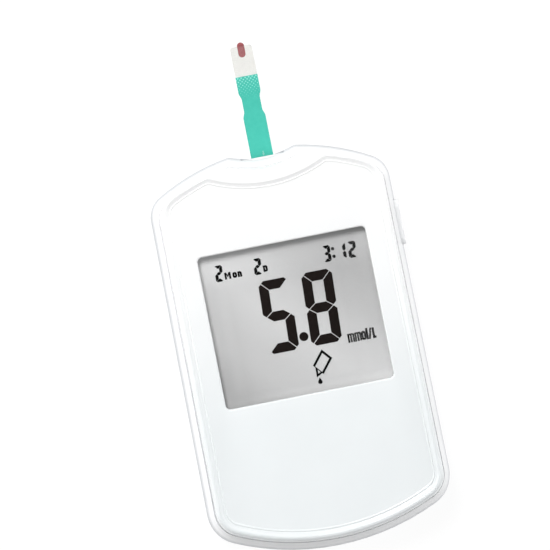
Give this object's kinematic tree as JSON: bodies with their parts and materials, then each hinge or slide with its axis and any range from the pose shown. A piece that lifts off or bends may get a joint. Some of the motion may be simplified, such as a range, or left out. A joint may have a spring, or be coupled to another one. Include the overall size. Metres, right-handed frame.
{
  "type": "blood glucose meter",
  "caption": "Hand-held blood glucose meter with a large segment display, a test strip in its port, a side memory button and a sliding battery door.",
  "frame": {"origin": "on the flat back, straight below the middle of the display window", "axes": "+Y towards the test strip, +Z out of the display, +X to the right when the display is read"},
  "size_m": [0.062, 0.1281, 0.0245],
  "materials": {
    "shell_upper": "satin moulded plastic",
    "shell_lower": "satin moulded plastic",
    "button_grey": "fine texture",
    "clear_lens": "clear and glossy",
    "lcd_film": "satin film",
    "lcd_reflector": "even satin grey",
    "lcd_glass": "clear",
    "lcd_dark": "dark segments",
    "inner_plastic": "moulded plastic",
    "rubber_grey": "layered rubber",
    "board_green": "solder mask",
    "chip_black": "moulded epoxy",
    "ceramic": "ceramic with tinned ends",
    "steel": "nickel plated",
    "gold": "gold plated",
    "dark_plastic": "moulded plastic",
    "cell_sleeve": "printed sleeve with bare ends",
    "plunger": "moulded plastic",
    "strip_white": "smooth polyester",
    "carbon": "printed carbon",
    "strip_teal": "printed film",
    "strip_clear": "hazy clear film",
    "blood_red": "wet"
  },
  "bodies": {
    "housing": {"front_cover": "shell_upper", "back_cover": "shell_lower", "display_lens": "clear_lens", "lcd_front_polarizer": "lcd_film", "lcd_front_glass": "lcd_glass", "lcd_segments": "lcd_dark", "lcd_rear_glass": "lcd_glass", "lcd_rear_polarizer": "lcd_reflector", "lcd_holder": "inner_plastic", "zebra_connector": "rubber_grey", "main_board": "board_green", "processor_chip": "chip_black", "analog_chip": "chip_black", "memory_chip": "chip_black", "crystal": "steel", "chip_parts": "ceramic", "strip_connector": "dark_plastic", "strip_contacts": "gold", "port_guide": "inner_plastic", "buzzer": "chip_black", "memory_switch": "chip_black", "set_switch": "chip_black", "battery_1": "cell_sleeve", "battery_2": "cell_sleeve", "battery_springs": "steel", "bridge_plate": "steel", "positive_terminal": "steel", "negative_terminal": "steel", "case_screws": "steel", "board_screws": "steel"},
    "battery_door": {"battery_door": "shell_lower"},
    "memory_button": {"memory_button": "button_grey", "memory_plunger": "plunger"},
    "set_button": {"set_button": "button_grey", "set_plunger": "plunger"},
    "test_strip": {"strip_base": "strip_white", "strip_electrodes": "carbon", "strip_spacer": "strip_white", "strip_cover": "strip_teal", "strip_tip_film": "strip_clear", "blood_sample": "blood_red"}
  },
  "joints": [
    {"name": "strip_slide", "type": "slide", "parent": "housing", "child": "test_strip", "axis": [0, 1, 0], "range_m": [0, 0.012]},
    {"name": "battery_door_slide", "type": "slide", "parent": "housing", "child": "battery_door", "axis": [0, -1, 0], "range_m": [0, 0.052]},
    {"name": "memory_press", "type": "slide", "parent": "housing", "child": "memory_button", "axis": [-1, 0, 0], "range_m": [0, 0.0005], "stiffness_N_per_m": 1500},
    {"name": "set_press", "type": "slide", "parent": "housing", "child": "set_button", "axis": [0, 0, 1], "range_m": [0, 0.0004], "stiffness_N_per_m": 1200}
  ]
}
